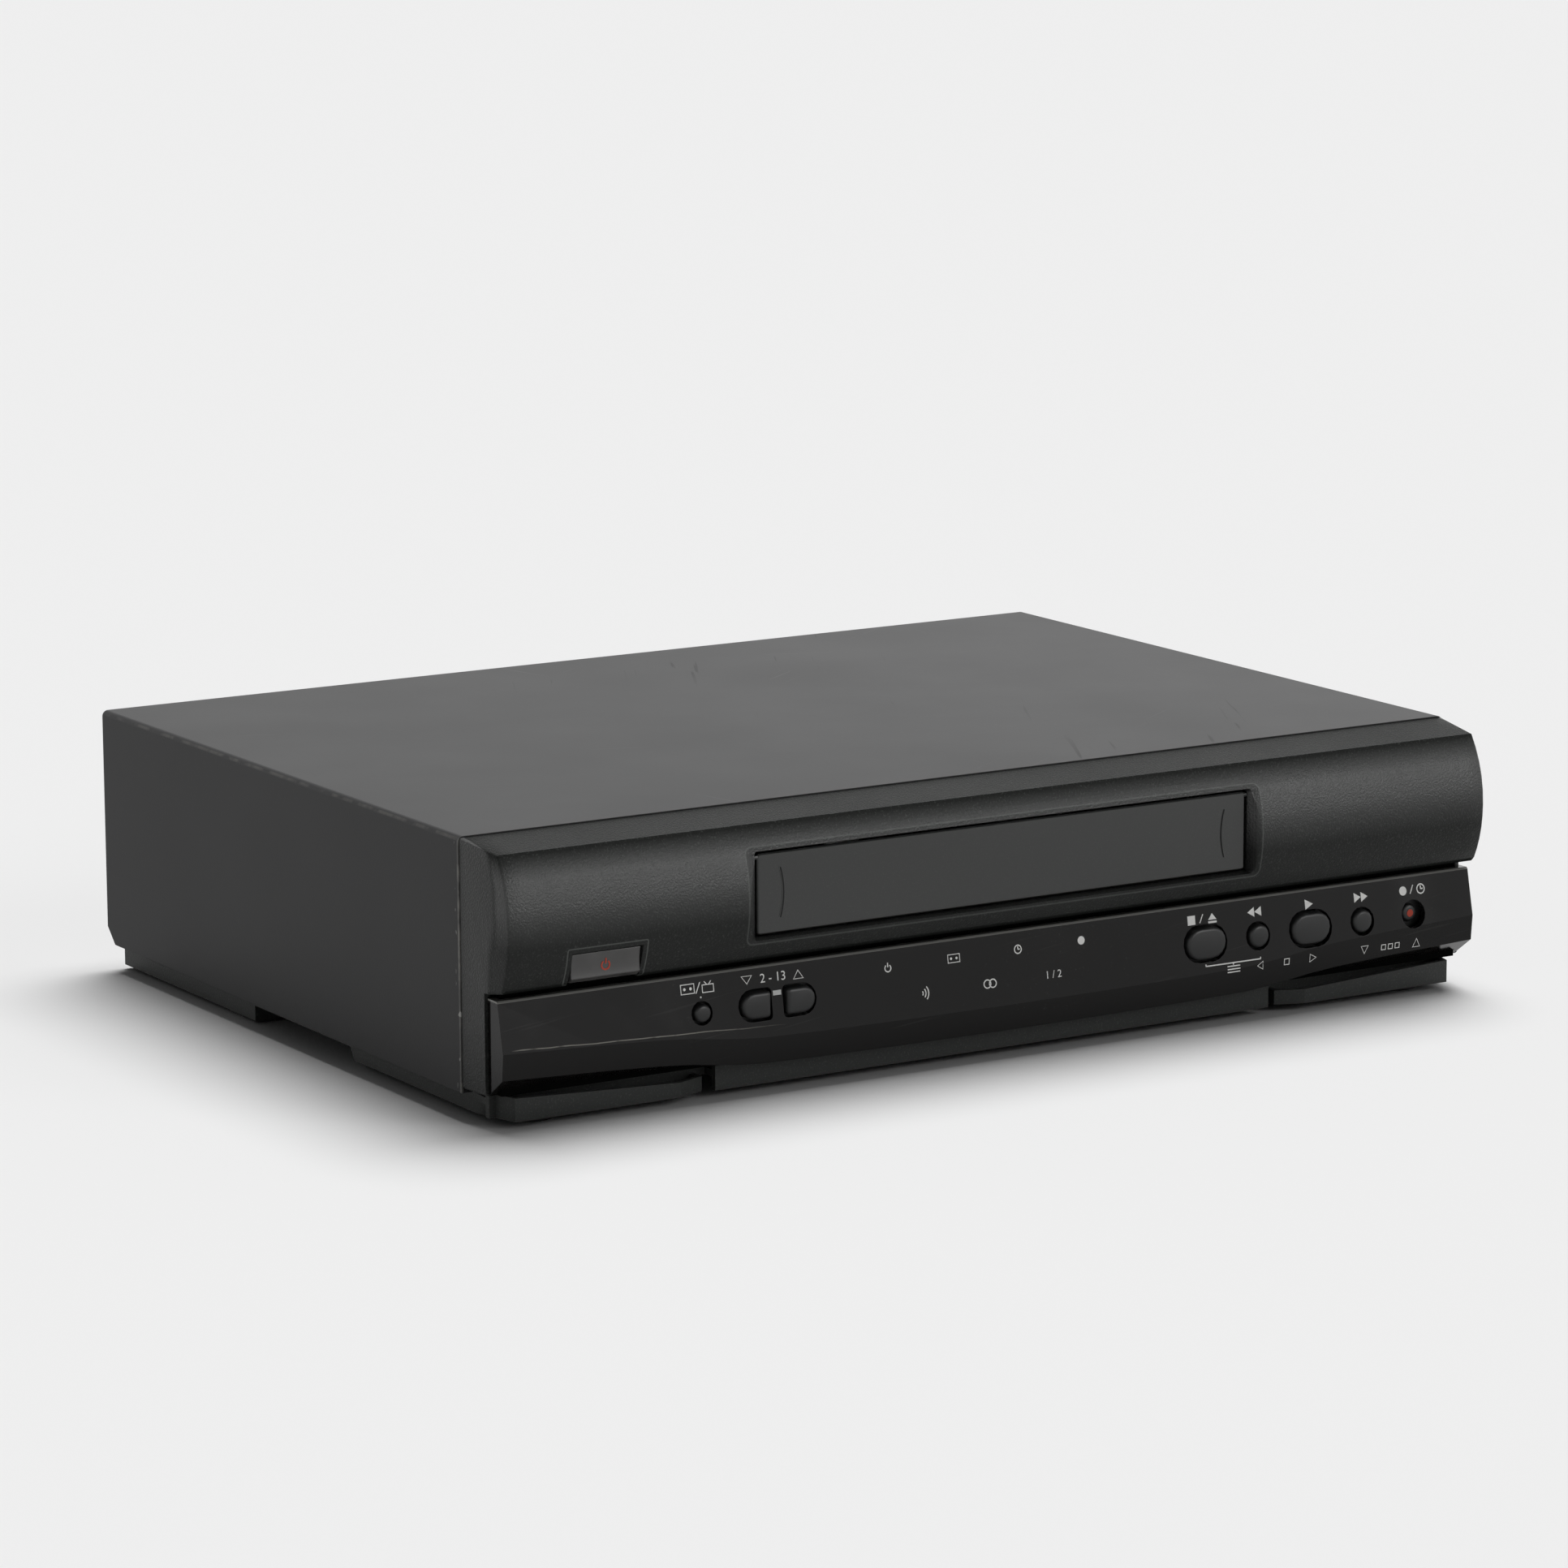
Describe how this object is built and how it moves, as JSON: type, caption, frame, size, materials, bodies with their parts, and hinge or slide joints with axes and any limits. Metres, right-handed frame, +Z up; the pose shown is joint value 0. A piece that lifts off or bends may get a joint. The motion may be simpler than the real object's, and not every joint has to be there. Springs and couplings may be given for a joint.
{
  "type": "video cassette recorder",
  "caption": "Full-width video cassette recorder with a sprung cassette door, a gloss control panel with push buttons, and a front-loading tape deck under a folded steel cover.",
  "frame": {"origin": "on the table, under the middle of the case", "axes": "+X to the right seen from the front, +Y towards the rear, +Z up"},
  "size_m": [0.4, 0.2978, 0.0957],
  "materials": {
    "cover_paint": "satin dark grey paint with light wear",
    "front_plastic": "fine sparkling charcoal grain",
    "gloss_panel": "near-black gloss",
    "button_plastic": "smooth satin",
    "door_plastic": "smooth satin",
    "base_plastic": "coarse moulded texture",
    "foot_rubber": "matt",
    "bare_steel": "zinc plated",
    "rear_paint": "satin black paint",
    "board_laminate": "green solder resist",
    "supply_laminate": "tan laminate",
    "socket_plastic": "satin",
    "shield_steel": "tinned",
    "drum_alloy": "fine turned",
    "bearing_bronze": "sintered",
    "white_plastic": "natural",
    "black_plastic": "satin",
    "belt_rubber": "matt"
  },
  "bodies": {
    "case": {"top_cover": "cover_paint", "front_bezel": "front_plastic", "control_panel": "gloss_panel", "base_frame": "base_plastic", "foot_pad_front_left": "foot_rubber", "foot_pad_front_right": "foot_rubber", "foot_pad_rear_left": "foot_rubber", "foot_pad_rear_right": "foot_rubber", "bottom_plate": "bare_steel", "rear_panel": "rear_paint", "cord_gland": "black_plastic", "front_board": "board_laminate", "main_board": "board_laminate", "power_supply": "supply_laminate", "jack_block": "socket_plastic", "tuner_box": "shield_steel", "deck_chassis": "bare_steel", "lower_drum": "drum_alloy", "erase_head": "bare_steel", "audio_head": "bare_steel", "capstan_bearing": "bearing_bronze", "drive_belt": "belt_rubber", "loading_motor": "bare_steel", "loader_bracket_left": "bare_steel", "loader_bracket_right": "bare_steel"},
    "cassette_door": {"cassette_door": "door_plastic"},
    "power_button": {"power_button": "front_plastic"},
    "tv_vcr_button": {"tv_vcr_button": "button_plastic"},
    "channel_down_button": {"channel_down_button": "button_plastic"},
    "channel_up_button": {"channel_up_button": "button_plastic"},
    "stop_eject_button": {"stop_eject_button": "button_plastic"},
    "rewind_button": {"rewind_button": "button_plastic"},
    "play_button": {"play_button": "button_plastic"},
    "fast_forward_button": {"fast_forward_button": "button_plastic"},
    "record_button": {"record_button": "button_plastic"},
    "upper_drum": {"upper_drum": "drum_alloy"},
    "capstan_flywheel": {"capstan_flywheel": "bare_steel"},
    "centre_pulley": {"centre_pulley": "white_plastic"},
    "idler_arm": {"idler_arm": "bare_steel"},
    "idler_wheel": {"idler_wheel": "black_plastic"},
    "supply_reel_table": {"supply_reel_table": "white_plastic"},
    "take_up_reel_table": {"take_up_reel_table": "white_plastic"},
    "tension_arm": {"tension_arm": "bare_steel"},
    "pinch_arm": {"pinch_arm": "bare_steel"},
    "pinch_roller": {"pinch_roller": "belt_rubber"},
    "guide_post_left": {"guide_post_left": "bare_steel"},
    "guide_post_right": {"guide_post_right": "bare_steel"},
    "cam_gear": {"cam_gear": "white_plastic"},
    "loading_pinion": {"loading_pinion": "black_plastic"},
    "loader_slider": {"loader_slider": "bare_steel"},
    "cassette_holder": {"cassette_holder": "bare_steel"}
  },
  "joints": [
    {"name": "cassette_door_swing", "type": "hinge", "parent": "case", "child": "cassette_door", "pos_m": [-0.0028, -0.14425, 0.0819], "axis": [1, 0, 0], "range_deg": [0, 88], "stiffness_Nm_per_rad": 0.002, "springref_deg": -57.3},
    {"name": "tv_vcr_press", "type": "slide", "parent": "case", "child": "tv_vcr_button", "axis": [0, 1, 0], "range_m": [0, 0.0012], "stiffness_N_per_m": 600, "springref_m": -0.001},
    {"name": "channel_down_press", "type": "slide", "parent": "case", "child": "channel_down_button", "axis": [0, 1, 0], "range_m": [0, 0.0012], "stiffness_N_per_m": 600, "springref_m": -0.001},
    {"name": "channel_up_press", "type": "slide", "parent": "case", "child": "channel_up_button", "axis": [0, 1, 0], "range_m": [0, 0.0012], "stiffness_N_per_m": 600, "springref_m": -0.001},
    {"name": "stop_eject_press", "type": "slide", "parent": "case", "child": "stop_eject_button", "axis": [0, 1, 0], "range_m": [0, 0.0012], "stiffness_N_per_m": 600, "springref_m": -0.001},
    {"name": "rewind_press", "type": "slide", "parent": "case", "child": "rewind_button", "axis": [0, 1, 0], "range_m": [0, 0.0012], "stiffness_N_per_m": 600, "springref_m": -0.001},
    {"name": "play_press", "type": "slide", "parent": "case", "child": "play_button", "axis": [0, 1, 0], "range_m": [0, 0.0012], "stiffness_N_per_m": 600, "springref_m": -0.001},
    {"name": "fast_forward_press", "type": "slide", "parent": "case", "child": "fast_forward_button", "axis": [0, 1, 0], "range_m": [0, 0.0012], "stiffness_N_per_m": 600, "springref_m": -0.001},
    {"name": "record_press", "type": "slide", "parent": "case", "child": "record_button", "axis": [0, 1, 0], "range_m": [0, 0.0012], "stiffness_N_per_m": 600, "springref_m": -0.001},
    {"name": "power_press", "type": "slide", "parent": "case", "child": "power_button", "axis": [0, 1, 0], "range_m": [0, 0.0012], "stiffness_N_per_m": 600, "springref_m": -0.001},
    {"name": "head_drum_spin", "type": "hinge", "parent": "case", "child": "upper_drum", "pos_m": [-0.0028, 0.03245, 0.0314], "axis": [0, -0.104, 0.9946], "continuous": true},
    {"name": "capstan_spin", "type": "hinge", "parent": "case", "child": "capstan_flywheel", "pos_m": [0.0392, -0.01255, 0.0314], "axis": [0, 0, 1], "continuous": true},
    {"name": "centre_pulley_spin", "type": "hinge", "parent": "case", "child": "centre_pulley", "pos_m": [-0.0028, -0.09265, 0.0314], "axis": [0, 0, 1], "continuous": true},
    {"name": "idler_swing", "type": "hinge", "parent": "case", "child": "idler_arm", "pos_m": [-0.0028, -0.09265, 0.0314], "axis": [0, 0, 1], "range_deg": [-6, 6]},
    {"name": "idler_spin", "type": "hinge", "parent": "idler_arm", "child": "idler_wheel", "pos_m": [-0.0028, -0.06255, 0.0314], "axis": [0, 0, 1], "continuous": true},
    {"name": "supply_reel_spin", "type": "hinge", "parent": "case", "child": "supply_reel_table", "pos_m": [-0.0523, -0.06255, 0.0314], "axis": [0, 0, 1], "continuous": true},
    {"name": "take_up_reel_spin", "type": "hinge", "parent": "case", "child": "take_up_reel_table", "pos_m": [0.0467, -0.06255, 0.0314], "axis": [0, 0, 1], "continuous": true},
    {"name": "tension_arm_swing", "type": "hinge", "parent": "case", "child": "tension_arm", "pos_m": [-0.0748, -0.01855, 0.0314], "axis": [0, 0, 1], "range_deg": [-8, 8], "stiffness_Nm_per_rad": 0.01},
    {"name": "pinch_arm_swing", "type": "hinge", "parent": "case", "child": "pinch_arm", "pos_m": [0.0592, -0.00055, 0.0314], "axis": [0, 0, 1], "range_deg": [0, 60]},
    {"name": "pinch_roller_spin", "type": "hinge", "parent": "pinch_arm", "child": "pinch_roller", "pos_m": [0.04643, 0.01517, 0.0314], "axis": [0, 0, 1], "continuous": true},
    {"name": "cam_turn", "type": "hinge", "parent": "case", "child": "cam_gear", "pos_m": [-0.0728, 0.03245, 0.0314], "axis": [0, 0, 1], "range_deg": [0, 200]},
    {"name": "guide_left_slide", "type": "slide", "parent": "case", "child": "guide_post_left", "axis": [-0.2017, 0.9795, 0], "range_m": [0, 0.0694]},
    {"name": "guide_right_slide", "type": "slide", "parent": "case", "child": "guide_post_right", "axis": [0.2017, 0.9795, 0], "range_m": [0, 0.0694]},
    {"name": "loading_pinion_spin", "type": "hinge", "parent": "case", "child": "loading_pinion", "pos_m": [-0.0728, 0.06105, 0.0314], "axis": [0, 0, 1], "range_deg": [-600, 0]},
    {"name": "carriage_in", "type": "slide", "parent": "case", "child": "loader_slider", "axis": [0, 1, 0], "range_m": [0, 0.066]},
    {"name": "holder_down", "type": "slide", "parent": "loader_slider", "child": "cassette_holder", "axis": [0, 0, -1], "range_m": [0, 0.02]}
  ],
  "couplings": [
    {"joint": "centre_pulley_spin", "follows": "capstan_spin", "ratio": 0.57143},
    {"joint": "idler_spin", "follows": "capstan_spin", "ratio": -0.20779},
    {"joint": "cam_turn", "follows": "guide_left_slide", "rad_per_m": 50.298},
    {"joint": "guide_right_slide", "follows": "guide_left_slide", "ratio": 1},
    {"joint": "loading_pinion_spin", "follows": "guide_left_slide", "rad_per_m": -150.89}
  ]
}
